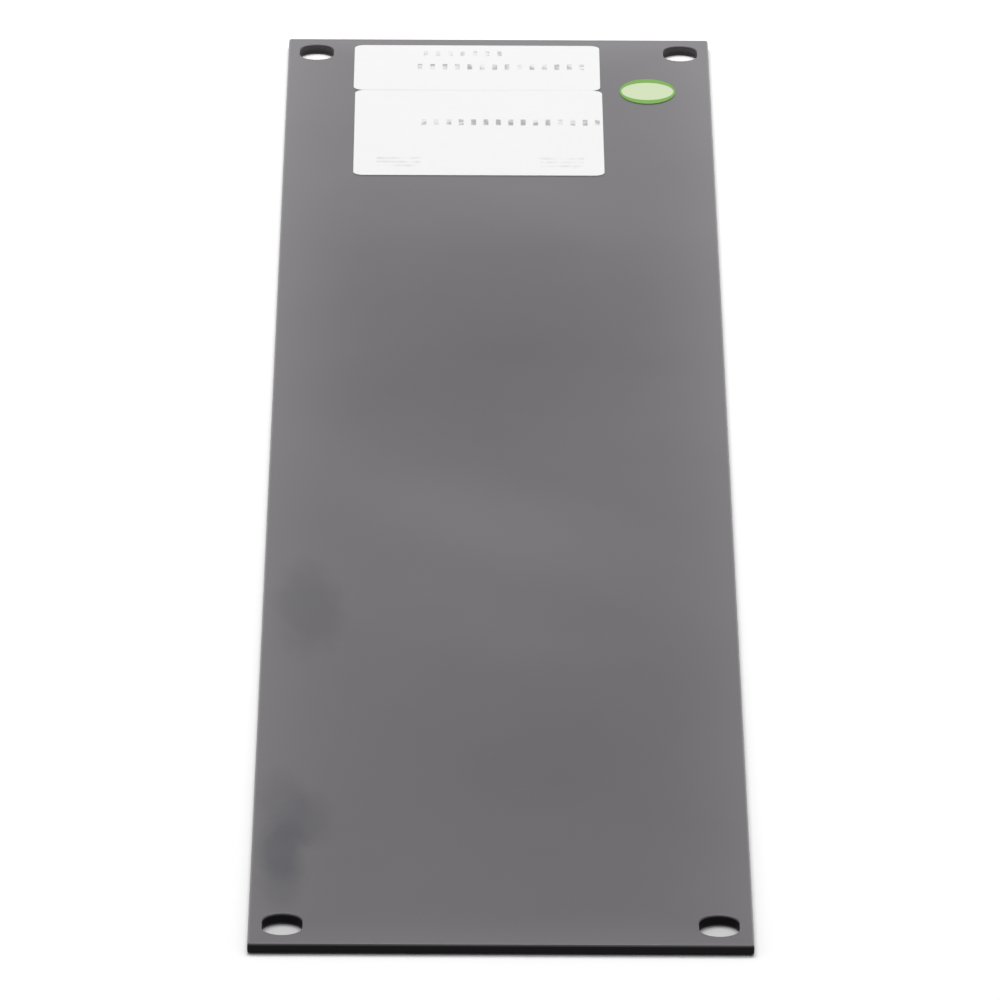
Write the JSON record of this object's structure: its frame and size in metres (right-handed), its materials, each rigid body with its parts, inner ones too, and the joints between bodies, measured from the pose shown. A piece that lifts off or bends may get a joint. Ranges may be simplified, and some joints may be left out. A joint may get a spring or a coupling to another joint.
{
  "type": "rack blanking panel",
  "caption": "Flat blanking panel for a 19-inch equipment rack, with a slotted screw hole near each corner and labels on its front.",
  "frame": {"origin": "middle of the plate's back face, which lies on the floor", "axes": "+X along the panel's length, across the rack, towards the end with the labels; +Y up the rack; +Z out of the front face"},
  "size_m": [0.4826, 0.0882, 0.0021],
  "materials": {
    "black_coating": "satin",
    "label_paper": "matte",
    "sticker_film": "satin"
  },
  "bodies": {
    "root": {"blanking_panel": "black_coating", "small_label": "label_paper", "large_label": "label_paper", "oval_sticker": "sticker_film"}
  },
  "joints": []
}
